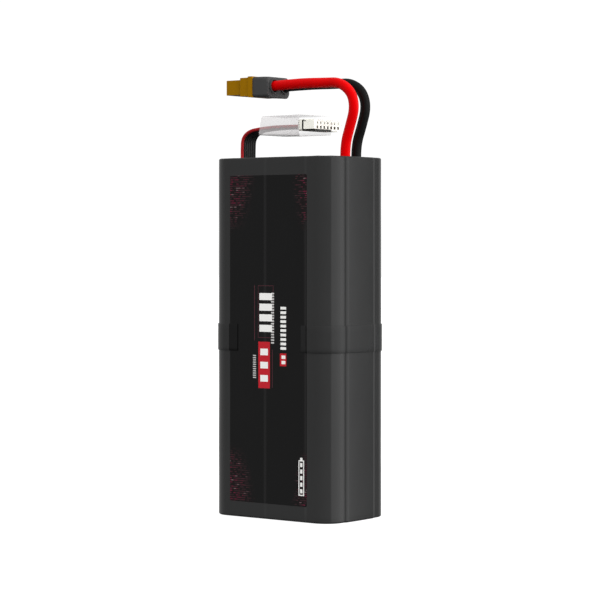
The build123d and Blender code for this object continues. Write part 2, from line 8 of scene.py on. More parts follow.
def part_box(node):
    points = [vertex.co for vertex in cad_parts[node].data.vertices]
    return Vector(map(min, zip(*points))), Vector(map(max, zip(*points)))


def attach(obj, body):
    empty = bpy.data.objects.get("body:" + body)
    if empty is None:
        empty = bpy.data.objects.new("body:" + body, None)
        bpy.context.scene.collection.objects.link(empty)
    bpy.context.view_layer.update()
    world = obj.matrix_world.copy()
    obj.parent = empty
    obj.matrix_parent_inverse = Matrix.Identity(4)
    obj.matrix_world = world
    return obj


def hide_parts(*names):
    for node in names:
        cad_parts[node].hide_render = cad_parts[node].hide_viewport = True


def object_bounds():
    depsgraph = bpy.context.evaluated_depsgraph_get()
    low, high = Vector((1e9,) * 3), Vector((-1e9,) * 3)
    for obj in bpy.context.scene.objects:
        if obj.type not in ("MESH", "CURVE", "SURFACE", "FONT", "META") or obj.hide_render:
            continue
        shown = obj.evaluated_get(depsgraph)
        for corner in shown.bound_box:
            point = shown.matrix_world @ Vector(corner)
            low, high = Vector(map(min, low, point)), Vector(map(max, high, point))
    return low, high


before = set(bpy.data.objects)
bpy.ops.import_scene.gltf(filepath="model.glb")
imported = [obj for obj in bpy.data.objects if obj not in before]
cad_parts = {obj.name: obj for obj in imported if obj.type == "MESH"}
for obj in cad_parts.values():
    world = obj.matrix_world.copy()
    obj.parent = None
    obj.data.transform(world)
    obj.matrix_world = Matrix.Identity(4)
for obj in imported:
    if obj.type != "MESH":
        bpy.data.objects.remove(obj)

# Battery pack of twelve round cells in a shrink sleeve, with its leads and plugs.  Meshes are
# made in millimetres, in the frame of the CAD model, and scaled to metres at the end.

CAD_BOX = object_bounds()
MM = 0.001
BODY = "root"


def box_mm(node):
    """Lowest and highest corner of a CAD node, in millimetres."""
    low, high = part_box(node)
    return low / MM, high / MM


_, WRAP_HIGH = box_mm("shrink_wrap")
LABEL_LOW, LABEL_HIGH = box_mm("label_film")
BAND_LOW, BAND_HIGH = box_mm("mid_band")
NOSE_LOW, _ = box_mm("connector_housing")
PLUG_LOW, PLUG_HIGH = box_mm("balance_plug_housing")

HEIGHT = WRAP_HIGH.z
HALF_DEPTH = WRAP_HIGH.y
SIDE_RISE = 0.7  # the raised strip over each side board
SIDE_FULL = 0.16  # the visual sleeve is this much fuller at each side than in CAD
STRIP_FULL = 0.36  # and this much fuller over the raised strips
HALF_WIDTH = WRAP_HIGH.x - SIDE_RISE + SIDE_FULL
CORNER_R = 8.7
CORNER_X, CORNER_Y = HALF_WIDTH - CORNER_R, HALF_DEPTH - CORNER_R
CORNER_END = 4.5  # degrees that the near corner's arc stops short of the side
STRIP_TOP = WRAP_HIGH.x + STRIP_FULL  # crown of the raised strip
STRIP_CROWN = 0.15  # how far its middle stands over its edges
STRIP_NEAR = 9.4  # where its face ends, toward the near and the far corner
STRIP_FAR = 8.6
NEAR_EDGE = ((2.2, -38), (0.35, -64), (0.3, 30), (0.6, -4.5))  # radius, normal angle reached
FAR_EDGE = ((2.9, -35), (0.3, -52), (0.2, 12), (0.6, -1))
END_R = 0.7  # rounded edge of each end
FILM_T = 0.35
WINDOW_HALF_X = 30.65  # opening that the folded film leaves at each end
WINDOW_HALF_Y = 18.6
WINDOW_R = 5.0
PLATE_T = 1.6
PLATE_REBATE = 1.8  # how far the end plate reaches under the folded film
PLATE_GAP = 0.35  # between its raised middle and the film's edge
BAND_T = BAND_HIGH.y - HALF_DEPTH
BAND_OPEN_HALF = 17.5
LABEL_T = -LABEL_LOW.y - HALF_DEPTH
LABEL_MID = (LABEL_LOW + LABEL_HIGH) / 2
LABEL_HALF = (LABEL_HIGH - LABEL_LOW) / 2
CREASE_HIGHLIGHTS = (-2.3, 19.8)  # faint upright lines in the front film, a painted highlight along its folds
CREASE_HIGHLIGHT_WIDTH = 1.1

LEAD_D = 4.4
TAP_D = 1.4
TAP_COUNT = 7
TAP_PITCH = 1.42
PLUG_PITCH = 2.5
PLUG_WAY_Z = 170.8  # height of the ways for the wires in the plug's back
TAP_EXIT_X = -29.2
LEAD_EXIT_X = 28.0
LEAD_Y = 4.0
AXIS_Z = 189.1  # main connector's axis
SOCKET_Y = 3.6
SOCKET_BORE_R = 2.15
NOSE_BACK = -28.1
SHELL_BACK = -22.8
FLANGE_BACK = -20.5
BOOT_BACK = -10.8
NOSE_SECTION = (7.0, 3.3, 1.9)  # half width, half height, cut corner
SHELL_SECTION = (7.9, 4.15, 2.1)
FLANGE_SECTION = (8.2, 4.6, 2.1)
COLLAR_Y = 3.8
COLLAR_LIFT = 0.1  # of the collars' axes over the connector's
PLUG_GROOVE_X = 8.95
PLUG_GROOVE = 0.8  # width of the groove behind the plug's front
PLUG_SKIRT = 0.7  # sloped lower edges
PLUG_MOUTH = 3.0  # how deep the openings are shaded
CLEAR_HALF = 10.3  # half width of the clear sleeve, and its height at the ribbon's end
CLEAR_LOW = 167.3
CLEAR_HIGH = 175.6


# ---------------- meshes

def link(name, data):
    piece = bpy.data.objects.new(name, data)
    bpy.context.scene.collection.objects.link(piece)
    return piece


def mesh_object(points, faces):
    """Object from points in millimetres."""
    mesh = bpy.data.meshes.new("piece")
    mesh.from_pydata([tuple(p) for p in points], [], faces)
    mesh.validate()
    tidy = bmesh.new()
    tidy.from_mesh(mesh)
    bmesh.ops.remove_doubles(tidy, verts=tidy.verts, dist=1e-5)
    bmesh.ops.recalc_face_normals(tidy, faces=tidy.faces)
    tidy.to_mesh(mesh)
    tidy.free()
    return link("piece", mesh)


def applied(piece):
    """Replace the piece's mesh by what its modifiers make of it."""
    graph = bpy.context.evaluated_depsgraph_get()
    made = bpy.data.meshes.new_from_object(
        piece.evaluated_get(graph), preserve_all_data_layers=True, depsgraph=graph
    )
    old = piece.data
    piece.modifiers.clear()
    piece.data = made
    made.name = piece.name
    bpy.data.meshes.remove(old)
    return piece


def combine(piece, tools, operation):
    """Boolean of the piece with each tool, which are used up."""
    for tool in tools:
        modifier = piece.modifiers.new(operation, "BOOLEAN")
        modifier.operation = operation
        modifier.solver = "EXACT"
        modifier.object = tool
        applied(piece)
        bpy.data.objects.remove(tool)
    return piece


def softened(piece, width, segments=3, angle=35):
    """Rounded edges, with the flat faces kept flat in shading."""
    bevel = piece.modifiers.new("edges", "BEVEL")
    bevel.width = width
    bevel.segments = segments
    bevel.limit_method = "ANGLE"
    bevel.angle_limit = math.radians(angle)
    applied(piece)
    piece.data.shade_smooth()
    weighted = piece.modifiers.new("normals", "WEIGHTED_NORMAL")
    weighted.keep_sharp = True
    return applied(piece)


def smoothed(piece, angle=50):
    """Smooth shading, sharp where faces meet at more than the angle."""
    piece.data.shade_smooth()
    piece.data.set_sharp_from_angle(angle=math.radians(angle))
    return piece


def block(x0, x1, y0, y1, z0, z1):
    """Plain box, for cutting and joining."""
    points = [(x, y, z) for x in (x0, x1) for y in (y0, y1) for z in (z0, z1)]
    faces = [(0, 1, 3, 2), (4, 6, 7, 5), (0, 4, 5, 1), (2, 3, 7, 6), (0, 2, 6, 4), (1, 5, 7, 3)]
    return mesh_object(points, faces)


def prism_x(outline, x0, x1):
    """Closed outline of (y, z) points pushed along X."""
    return mesh_object(*skin([[(x, y, z) for y, z in outline] for x in (x0, x1)], caps=True))


def prism_z(outline, z0, z1):
    """Closed outline of (x, y) points pushed along Z."""
    return mesh_object(*skin([[(x, y, z) for x, y in outline] for z in (z0, z1)], caps=True))


def around(cx, cy, r, turns):
    """Points about a centre, at each of the angles."""
    return [(cx + r * math.cos(t), cy + r * math.sin(t)) for t in turns]


def circle(cx, cy, r, sides=48):
    return around(cx, cy, r, [2 * math.pi * i / sides for i in range(sides)])


def skin(rings, closed_across=False, caps=False):
    """Quads between neighbouring rings of points; every ring is a closed loop of the same length."""
    n = len(rings[0])
    points = [p for ring in rings for p in ring]
    rows = len(rings) if closed_across else len(rings) - 1
    faces = []
    for j in range(rows):
        a, b = j * n, ((j + 1) % len(rings)) * n
        faces += [(a + i, a + (i + 1) % n, b + (i + 1) % n, b + i) for i in range(n)]
    if caps:
        last = (len(rings) - 1) * n
        faces += [tuple(range(n)), tuple(range(last + n - 1, last - 1, -1))]
    return points, faces


def arc(cx, cy, r, start, end, steps):
    """Points of an arc between two angles in degrees, both ends included."""
    return around(cx, cy, r, [math.radians(start + (end - start) * i / steps) for i in range(steps + 1)])


def rounded_rect(half_x, half_y, r, steps=8):
    """Outline of a rectangle with rounded corners, from the +x, -y corner, counter-clockwise."""
    made = []
    for sx, sy, start in ((1, -1, -90), (1, 1, 0), (-1, 1, 90), (-1, -1, 180)):
        made += arc(sx * (half_x - r), sy * (half_y - r), r, start, start + 90, steps)
    return made


def ripple(x, y, z, size, seed=0.0):
    """Smooth noise, about -1 to 1, with features of the given size in millimetres."""
    return noise.noise(Vector((x / size + seed, y / size - seed, z / size + 2 * seed))) * 1.4


# ---------------- the pack's plan outline

CORNER_STEPS = 30
FRONT_STEPS = 26
STRIP_STEPS = 14


def edge_chain(x, y, arcs, steps=6):
    """Points from a strip face's end (x, -y) outward, along arcs that join smoothly."""
    slope = math.degrees(math.atan(2 * STRIP_CROWN / y))
    px, py, turn = x, -y, -slope
    made = []
    for radius, reached in arcs:
        bend = 1 if reached < turn else -1
        now, goal = math.radians(turn), math.radians(reached)
        r = bend * radius
        cx, cy = px - r * math.cos(now), py - r * math.sin(now)
        made += around(cx, cy, r, [now + (goal - now) * i / steps for i in range(1, steps + 1)])
        (px, py), turn = made[-1], reached
    return made


def strip_side(offset):
    """The right side's plan between its two corner arcs, moved out by offset."""
    x = STRIP_TOP - STRIP_CROWN
    near = edge_chain(x, STRIP_NEAR, NEAR_EDGE)
    far = [(px, -py) for px, py in edge_chain(x, STRIP_FAR, FAR_EDGE)]
    face = []
    for i in range(STRIP_STEPS + 1):
        y = -STRIP_NEAR + (STRIP_NEAR + STRIP_FAR) * i / STRIP_STEPS
        reach = STRIP_NEAR if y < 0 else STRIP_FAR
        face.append((x + STRIP_CROWN * (1 - (y / reach) ** 2), y))
    return [(px + offset, py) for px, py in near[::-1] + face + far]


def straight(half, y, steps, sign, extra=()):
    """x stations of the front (sign 1) or back (sign -1) face, its ends left out."""
    stations = {round(-half + 2 * half * i / steps, 4) for i in range(1, steps)}
    for x in extra:
        stations |= {round(x + d, 4) for d in (-0.5, -0.2, 0.0, 0.2, 0.5)}
    return [(sign * x, y) for x in sorted(sign * s for s in stations)]


def body_outline(offset=0.0):
    """The pack's plan moved out by offset, counter-clockwise from the front face's left end."""
    r = CORNER_R + offset
    cx, cy = CORNER_X, CORNER_Y
    right = strip_side(offset)
    left = [(-x, -y) for x, y in right]
    points = straight(cx, -HALF_DEPTH - offset, FRONT_STEPS, 1, CREASE_HIGHLIGHTS)
    points += arc(cx, -cy, r, -90, -CORNER_END, CORNER_STEPS) + right
    points += arc(cx, cy, r, 0, 90, CORNER_STEPS)
    points += straight(cx, HALF_DEPTH + offset, FRONT_STEPS, -1)
    points += arc(-cx, cy, r, 90, 180 - CORNER_END, CORNER_STEPS) + left
    points += arc(-cx, -cy, r, 180, 270, CORNER_STEPS)
    return points


def window_outline():
    """The end opening's edge, with one point for each point of the body's outline."""
    cx, cy = WINDOW_HALF_X - WINDOW_R, WINDOW_HALF_Y - WINDOW_R
    made = []
    for x, y in body_outline():
        beyond_x, beyond_y = abs(x) - CORNER_X, abs(y) - CORNER_Y
        if beyond_x > 0 and beyond_y > 0:
            turn = math.atan2(beyond_y, beyond_x)
            px, py = cx + WINDOW_R * math.cos(turn), cy + WINDOW_R * math.sin(turn)
        elif beyond_y > 0:
            px, py = abs(x) * cx / CORNER_X, WINDOW_HALF_Y
        else:
            px, py = WINDOW_HALF_X, abs(y) * cy / CORNER_Y
        made.append((math.copysign(px, x), math.copysign(py, y)))
    return made


# ---------------- shader helpers

class Net:
    """Short names for building the nodes of one material or world."""

    def __init__(self, owner):
        owner.use_nodes = True
        self.nodes, self.links = owner.node_tree.nodes, owner.node_tree.links

    def put(self, value, socket):
        if isinstance(value, bpy.types.NodeSocket):
            self.links.new(value, socket)
        else:
            socket.default_value = value

    def math(self, operation, a, b=0.0, clamp=False):
        node = self.nodes.new("ShaderNodeMath")
        node.operation = operation
        node.use_clamp = clamp
        self.put(a, node.inputs[0])
        self.put(b, node.inputs[1])
        return node.outputs[0]

    def fold(self, operation, values):
        """One operation over all the values, from the first on."""
        total = values[0]
        for value in values[1:]:
            total = self.math(operation, total, value)
        return total

    def times(self, *values):
        return self.fold("MULTIPLY", values)

    def any_of(self, *masks):
        return self.fold("MAXIMUM", masks)

    def near(self, value, centre, reach):
        """1 where value is within reach of centre."""
        output = self.math("COMPARE", value, centre)
        output.node.inputs[2].default_value = reach
        return output

    def mix(self, share, a, b):
        node = self.nodes.new("ShaderNodeMix")
        node.data_type = "RGBA"
        self.put(share, node.inputs["Factor"])
        for value, socket in ((a, node.inputs[6]), (b, node.inputs[7])):
            self.put(value if isinstance(value, bpy.types.NodeSocket) else (*value, 1.0), socket)
        return node.outputs[2]

    def span(self, value, low, high, to_low, to_high, kind="LINEAR"):
        node = self.nodes.new("ShaderNodeMapRange")
        node.interpolation_type = kind
        self.put(value, node.inputs["Value"])
        for key, number in (("From Min", low), ("From Max", high), ("To Min", to_low), ("To Max", to_high)):
            node.inputs[key].default_value = number
        return node.outputs["Result"]


class Paint(Net):
    """The nodes of one material, round its shader."""

    def __init__(self, name):
        self.name = name
        self.material = bpy.data.materials.new(name)
        super().__init__(self.material)
        self.surface = self.nodes["Principled BSDF"]
        self.place = self.nodes.new("ShaderNodeTexCoord").outputs["Object"]

    def cloud(self, size, detail=3.0, stretch=(1, 1, 1)):
        """Noise with features of about size millimetres."""
        mapping = self.nodes.new("ShaderNodeMapping")
        mapping.inputs["Scale"].default_value = [s / (size * MM) for s in stretch]
        self.links.new(self.place, mapping.inputs["Vector"])
        node = self.nodes.new("ShaderNodeTexNoise")
        node.inputs["Scale"].default_value = 1.0
        node.inputs["Detail"].default_value = detail
        self.links.new(mapping.outputs["Vector"], node.inputs["Vector"])
        return node.outputs["Fac"]

    def cloudy(self, low, high, *pattern):
        """Numbers from low to high, in soft patches."""
        return self.span(self.cloud(*pattern), 0.3, 0.7, low, high)

    def mottled(self, colour, low, high, *pattern):
        """The colour times low to high, in soft patches."""
        return self.mix(self.cloudy(0, 1, *pattern), shade(colour, low), shade(colour, high))

    def colour(self, value):
        self.put(value, self.surface.inputs["Base Color"])

    def rough(self, low, high, *pattern):
        self.put(self.cloudy(low, high, *pattern), self.surface.inputs["Roughness"])

    def axes(self):
        """x, y and z of the surface point, in millimetres."""
        node = self.nodes.new("ShaderNodeSeparateXYZ")
        self.links.new(self.place, node.inputs[0])
        return [self.math("DIVIDE", node.outputs[i], MM) for i in range(3)]

    def relief(self, height, depth_mm):
        node = self.nodes.new("ShaderNodeBump")
        node.inputs["Distance"].default_value = depth_mm * MM
        self.links.new(height, node.inputs["Height"])
        if self.surface.inputs["Normal"].is_linked:
            self.links.new(self.surface.inputs["Normal"].links[0].from_socket, node.inputs["Normal"])
        self.links.new(node.outputs["Normal"], self.surface.inputs["Normal"])

    def plain(self, **values):
        """Constants on the shader's own sockets."""
        for key, value in values.items():
            self.surface.inputs[key.replace("_", " ")].default_value = value


def shade(colour, share):
    return [min(1.0, c * share) for c in colour]


def satin(name, colour, rough, vary=0.12, vary_mm=6.0, grain_mm=0.5, grain_depth=0.004, rough_span=0.06,
          stretch=(1, 1, 1), **constants):
    """Moulded or rolled surface: cloudy colour and roughness, and a fine grain."""
    net = Paint(name)
    net.colour(net.mottled(colour, 1 - vary, 1 + vary, vary_mm, 3.0, stretch))
    net.rough(rough - rough_span, rough + rough_span, vary_mm * 0.45, 4.0, stretch)
    net.relief(net.cloud(grain_mm, 2.0, stretch), grain_depth)
    net.plain(**constants)
    return net


# ---------------- materials

WRAP_GREY = (0.0183, 0.0185, 0.0186)
LABEL_BLACK = (0.0029, 0.0029, 0.0030)
PRINT_WHITE = (0.86, 0.86, 0.84)
PRINT_RED = (0.50, 0.010, 0.020)

# The dash pattern in the label's corners.
DASH_ROW = 0.92  # height of a row
DASH_SHARE = 0.47  # of the row that a dash fills
DASH_LENGTH = 1.15
DASH_FADE = 25.0  # how far from the label's ends the pattern goes

# The print, as x from and to, z from and to.
CHARGE_BARS = (-5.4, 1.6, 81.2, 98.0)
CHARGE_FRAME = (-6.2, 2.35, 78.6, 101.3)
SMALL_ROW = (1.05, 2.7, 76.2, 98.2)
LEFT_LINE = (-8.3, -7.95, 77.4, 101.3)
UNIT_BLOCK = (-6.0, 0.4, 56.75, 76.9)
UNIT_BARS = (-4.9, -0.7, 59.6, 73.9)
UNIT_LINE = (1.55, 1.85, 57.0, 73.6)
TINY_ROW = (-9.0, -7.3, 61.0, 71.0)
TITLE_BARS = (6.25, 9.3, 73.7, 92.2)
BADGE_BLOCK = (5.9, 9.4, 66.6, 72.1)
BADGE_BARS = (6.8, 8.9, 67.5, 71.2)
GLYPH_CASE = (16.1, 19.1, 11.4, 26.6)
GLYPH_CAP = (17.0, 18.2, 26.6, 27.7)
GLYPH_BARS = (17.0, 18.2, 12.5, 25.5)


def crease_highlight_mask(net, x):
    """Thin upright lines where the front film was folded flat, painted lighter as a highlight."""
    lines = []
    for place in CREASE_HIGHLIGHTS:
        away = net.math("ABSOLUTE", net.math("SUBTRACT", x, place))
        lines.append(net.math("SUBTRACT", 1.0, net.math("DIVIDE", away, CREASE_HIGHLIGHT_WIDTH), clamp=True))
    return net.any_of(*lines)


def wrap_material():
    net = Paint("wrap_film")
    x, y, _ = net.axes()
    front = net.math("LESS_THAN", y, -HALF_DEPTH + 0.3)
    # painted highlight: lighter lines along the front film's folds, in soft patches
    crease_highlight = net.times(crease_highlight_mask(net, x), front, net.span(net.cloud(14.0), 0.35, 0.6, 0.25, 1.0))
    dust = net.span(net.cloud(0.35, 5.0), 0.66, 0.8, 0, 0.5)
    tone = net.mix(dust, net.mottled(WRAP_GREY, 0.95, 1.05, 30.0, 2.0), shade(WRAP_GREY, 1.5))
    net.colour(net.mix(crease_highlight, tone, shade(WRAP_GREY, 1.45)))
    net.rough(0.07, 0.11, 4.0, 4.0)
    net.relief(net.cloud(2.2, 2.0, (1, 1, 0.35)), 0.0009)
    net.relief(net.cloud(0.12, 2.0), 0.0005)
    net.plain(IOR=1.5)
    return net


def dashes(net, x, z):
    """Close rows of short dashes that fade out from the label's corners, more widely at the left:
    corner strength, dash mask and a random colour for each dash."""

    def inward(value, middle, half):
        return net.math("SUBTRACT", half, net.math("ABSOLUTE", net.math("SUBTRACT", value, middle)))

    def by_side(left, right):
        return net.span(x, LABEL_MID.x - 1, LABEL_MID.x + 1, left, right)

    edge_x, edge_z = inward(x, LABEL_MID.x, LABEL_HALF.x), inward(z, LABEL_MID.z, LABEL_HALF.z)
    reach = net.times(net.span(edge_z, 0.0, DASH_FADE, 8.5, 4.5), by_side(1.0, 0.55))
    strength = net.times(net.span(net.math("DIVIDE", edge_x, reach), 0.35, 1.9, 1.0, 0.0),
                         net.span(edge_z, 14.0, DASH_FADE, 1.0, 0.0))
    rows = net.math("DIVIDE", z, DASH_ROW)
    row = net.math("FLOOR", rows)
    within = net.math("LESS_THAN", net.math("FRACT", rows), DASH_SHARE)
    shift = net.nodes.new("ShaderNodeTexWhiteNoise")
    shift.noise_dimensions = "1D"
    net.put(row, shift.inputs["W"])
    slid = net.math("ADD", net.math("DIVIDE", x, DASH_LENGTH), net.times(shift.outputs["Value"], 9.0))
    cell = net.nodes.new("ShaderNodeCombineXYZ")
    net.put(net.math("FLOOR", slid), cell.inputs[0])
    net.put(row, cell.inputs[1])
    pick = net.nodes.new("ShaderNodeTexWhiteNoise")
    pick.noise_dimensions = "2D"
    net.put(cell.outputs[0], pick.inputs["Vector"])
    likely = net.times(net.span(strength, 0.0, 0.6, 0.42, 0.78), by_side(1.0, 0.7))
    chosen = net.math("LESS_THAN", pick.outputs["Value"], likely)
    mask = net.times(chosen, within, net.span(strength, 0.0, 0.5, 0.0, 1.0))
    return strength, mask, pick.outputs["Color"]


def patch(net, x, z, area):
    """Rectangle of the print."""
    x0, x1, z0, z1 = area
    return net.times(net.near(x, (x0 + x1) / 2, (x1 - x0) / 2), net.near(z, (z0 + z1) / 2, (z1 - z0) / 2))


def bars(net, x, z, area, count, duty):
    """Row of equal bars along z inside a rectangle, the first one flush with its upper end."""
    low, high = area[2:]
    pitch = (high - low) / (count - 1 + duty)
    phase = net.math("FRACT", net.math("DIVIDE", net.math("SUBTRACT", high, z), pitch))
    return net.times(patch(net, x, z, area), net.math("LESS_THAN", phase, duty))


def frame_lines(net, x, z, area, width):
    """Outline of a rectangle."""
    x0, x1, z0, z1 = area
    inner = patch(net, x, z, (x0 + width, x1 - width, z0 + width, z1 - width))
    return net.math("SUBTRACT", patch(net, x, z, area), inner, clamp=True)


def label_material():
    """Black printed film: dash pattern at the corners and plain bars and blocks, with no lettering."""
    net = Paint("label_film")
    x, _, z = net.axes()
    strength, dash, random = dashes(net, x, z)
    split = net.nodes.new("ShaderNodeSeparateXYZ")
    net.put(random, split.inputs[0])
    base = net.mottled(LABEL_BLACK, 0.93, 1.07, 25.0, 2.0)
    # painted highlight: lighter lines along the folds of the label
    base = net.mix(net.times(crease_highlight_mask(net, x), 0.9), base, (0.0130, 0.0126, 0.0128))
    base = net.mix(net.times(strength, 0.75), base, (0.0048, 0.0008, 0.0014))
    vivid = net.times(net.math("POWER", split.outputs[1], 2.0), net.math("POWER", strength, 1.5))
    wine = net.mix(vivid, (0.024, 0.0105, 0.0125), (0.125, 0.005, 0.028))
    pale = net.math("LESS_THAN", split.outputs[2], 0.08)
    base = net.mix(dash, base, net.mix(net.times(pale, strength), wine, (0.13, 0.085, 0.09)))
    thin = net.any_of(frame_lines(net, x, z, CHARGE_FRAME, 0.22), patch(net, x, z, LEFT_LINE),
                      patch(net, x, z, UNIT_LINE))
    base = net.mix(net.times(thin, 0.9), base, (0.085, 0.02, 0.03))
    base = net.mix(net.any_of(patch(net, x, z, UNIT_BLOCK), patch(net, x, z, BADGE_BLOCK)), base, PRINT_RED)
    white = net.any_of(*[bars(net, x, z, *row) for row in (
        (CHARGE_BARS, 4, 0.66), (UNIT_BARS, 3, 0.5), (TITLE_BARS, 10, 0.6), (BADGE_BARS, 2, 0.62),
        (GLYPH_BARS, 5, 0.62))])
    glyph = net.any_of(frame_lines(net, x, z, GLYPH_CASE, 0.45), patch(net, x, z, GLYPH_CAP))
    fine = net.any_of(bars(net, x, z, SMALL_ROW, 19, 0.58), bars(net, x, z, TINY_ROW, 11, 0.5))
    ink = net.any_of(white, glyph, net.times(fine, 0.62))
    net.colour(net.mix(ink, base, PRINT_WHITE))
    net.rough(0.12, 0.17, 5.0, 4.0)
    net.relief(net.cloud(2.2, 2.0, (1, 1, 0.35)), 0.0009)
    net.relief(ink, 0.006)
    net.plain(IOR=1.46, Specular_IOR_Level=0.36)
    return net


def band_material():
    """Thin dark tape, near black where it covers the label's edges, with a painted shadow line along the
    label's right edge.
    """
    net = Paint("band_tape")
    x, y, _ = net.axes()
    over_label = net.times(net.near(x, LABEL_MID.x, LABEL_HALF.x + 0.4),
                           net.math("LESS_THAN", y, -HALF_DEPTH + 1.0))
    dark = net.mix(net.math("LESS_THAN", x, 0.0), (0.0085, 0.0085, 0.0087), (0.0012, 0.0012, 0.0013))
    # painted shadow: a darker line where the tape steps over the label's right edge
    dark = net.mix(net.near(x, LABEL_HIGH.x, 0.4), dark, (0.0015, 0.0015, 0.0015))
    net.colour(net.mix(over_label, net.mottled(WRAP_GREY, 1.04, 1.16, 12.0), dark))
    net.rough(0.08, 0.13, 3.0, 4.0)
    net.relief(net.cloud(1.2, 3.0, (0.3, 0.3, 1)), 0.0012)
    net.plain(IOR=1.5, Specular_IOR_Level=0.36)
    return net


def board_material(name, colour):
    """Glass-fibre board: a faint square weave under resin."""
    net = satin(name, colour, 0.38, vary=0.1, vary_mm=8.0, grain_mm=0.3, grain_depth=0.002)
    x, y, z = net.axes()
    per_mm = 2 * math.pi / 0.9
    warp = net.math("SINE", net.times(x, per_mm))
    weft = net.math("SINE", net.times(net.math("ADD", y, z), per_mm))
    net.relief(net.times(warp, weft), 0.012)
    return net


def silicone(name, colour, rough, **constants):
    """Extruded silicone: a slightly cloudy bloom over a very fine grain."""
    return satin(name, colour, rough, vary=0.06, vary_mm=9.0, grain_mm=0.25, grain_depth=0.003, rough_span=0.05,
                 **constants)


def film_material():
    """Milky clear sleeve: densest at the front wall and along the lower edge, thinnest at the back
    wall, and denser edge on.  Only its outer face shows."""
    net = Paint("clear_film")
    facing = net.nodes.new("ShaderNodeLayerWeight")
    facing.inputs["Blend"].default_value = 0.25
    wall = net.nodes.new("ShaderNodeAttribute")
    wall.attribute_name = "outer"
    _, y, z = net.axes()
    walls = [net.span(y, 1.7 - CLEAR_HALF, 3.1 - CLEAR_HALF, 0.49, 0.30),
             net.span(y, CLEAR_HALF - 3.3, CLEAR_HALF - 1.3, 0.0, -0.24)]
    edge = [net.span(z, CLEAR_LOW + 2.3, CLEAR_LOW - 0.3, 0.0, 0.22),
            net.span(z, CLEAR_LOW + 2.8, CLEAR_LOW + 1.8, 0.0, 0.10)]
    density = net.fold("ADD", walls + edge + [net.cloudy(-0.03, 0.03, 7.0, 3.0, (0.4, 1, 1))])
    density = net.math("ADD", density, net.span(facing.outputs["Facing"], 0.45, 1.0, 0.0, 0.35), clamp=True)
    net.put(net.times(density, wall.outputs["Fac"]), net.surface.inputs["Alpha"])
    net.rough(0.12, 0.24, 3.0)
    net.relief(net.cloud(5.0, 2.0, (0.3, 1, 1)), 0.015)
    net.plain(Base_Color=(0.60, 0.575, 0.58, 1.0), IOR=1.45)
    return net


def plug_material():
    """Ivory nylon, with painted shade in the narrow groove and its notch, under the sloped lower edges and in
    the openings.
    """
    net = satin("plug_nylon", (0.90, 0.89, 0.81), 0.4, vary=0.02, vary_mm=4.0, grain_mm=0.3)
    x, y, z = net.axes()
    # painted shade: a dark line in the groove behind the front, and in the small notch at the top, on the near
    # side
    groove = net.times(net.near(x, PLUG_GROOVE_X + PLUG_GROOVE / 2, 0.42), net.math("LESS_THAN", y, 0.0))
    notch_shade = net.times(net.near(x, PLUG_GROOVE_X + 1.2, 1.0), net.near(z, PLUG_HIGH.z - 0.75, 0.19),
                    net.math("LESS_THAN", y, PLUG_LOW.y + 0.55))
    # painted shade under the sloped lower edges and the underside, on the nearer part
    under = net.times(net.math("LESS_THAN", z, PLUG_LOW.z + PLUG_SKIRT - 0.02),
                      net.math("GREATER_THAN", x, PLUG_GROOVE_X), net.math("LESS_THAN", y, 2.6))
    # painted shade inside the contact openings, greyer than in the groove
    inside = net.times(net.near(x, PLUG_HIGH.x - PLUG_MOUTH / 2 - 0.06, PLUG_MOUTH / 2 - 0.06),
                       net.near(z, (PLUG_LOW.z + PLUG_HIGH.z) / 2, 1.75), net.near(y, 0.0, PLUG_HIGH.y - 0.4))
    clean = net.surface.inputs["Base Color"].links[0].from_socket
    tone = net.mix(net.times(inside, 0.8), clean, (0.16, 0.15, 0.12))
    net.colour(net.mix(net.any_of(groove, notch_shade, under), tone, (0.030, 0.031, 0.026)))
    return net


def metal(name, colour, rough, stretch=(1, 1, 1)):
    return satin(name, colour, rough, vary=0.07, vary_mm=3.0, grain_mm=0.2, grain_depth=0.0012, stretch=stretch,
                 Metallic=1.0)


PAINTS = {paint.name: paint for paint in (
    wrap_material(),
    label_material(),
    band_material(),
    film_material(),
    plug_material(),
    satin("end_plate", (0.016, 0.016, 0.017), 0.46, grain_mm=0.35, grain_depth=0.012),
    board_material("glass_board", (0.09, 0.15, 0.07)),
    board_material("tap_board", (0.004, 0.04, 0.012)),
    metal("cell_steel", (0.55, 0.55, 0.54), 0.3, (1, 1, 0.08)),
    metal("electrode_roll", (0.2, 0.18, 0.17), 0.5, (1, 1, 0.05)),
    metal("nickel_strip", (0.62, 0.6, 0.55), 0.28, (0.1, 1, 1)),
    metal("gold_contact", (0.83, 0.56, 0.2), 0.2),
    satin("cell_gasket", (0.7, 0.69, 0.64), 0.42),
    satin("cell_sleeve", (0.03, 0.15, 0.11), 0.26, stretch=(1, 1, 0.3)),
    satin("ring_paper", (0.78, 0.74, 0.6), 0.82, grain_mm=0.12, grain_depth=0.02),
    satin("insulating_sheet", (0.48, 0.4, 0.15), 0.72, grain_mm=0.2, grain_depth=0.02),
    satin("foam", (0.014, 0.014, 0.014), 0.95, grain_mm=0.4, grain_depth=0.15),
    silicone("lead_red", (0.53, 0.0004, 0.0010), 0.5, Specular_IOR_Level=0.12,
             Specular_Tint=(1.0, 0.05, 0.06, 1.0)),
    silicone("lead_black", (0.0024, 0.0024, 0.0025), 0.4, Specular_IOR_Level=0.2),
    silicone("tap_red", (0.33, 0.014, 0.017), 0.45, Specular_IOR_Level=0.15,
             Specular_Tint=(1.0, 0.2, 0.2, 1.0)),
    silicone("tap_black", (0.0072, 0.0072, 0.0074), 0.38, Specular_IOR_Level=0.5),
    satin("connector_nylon", (0.272, 0.125, 0.0001), 0.5, vary=0.05, vary_mm=4.0, grain_mm=0.22,
          Specular_IOR_Level=0.12, Specular_Tint=(1.0, 0.7, 0.02, 1.0)),
    satin("boot_grey", (0.043, 0.0435, 0.044), 0.5, vary=0.06, vary_mm=5.0, grain_mm=0.2, grain_depth=0.005,
          Specular_IOR_Level=0.3),
)}

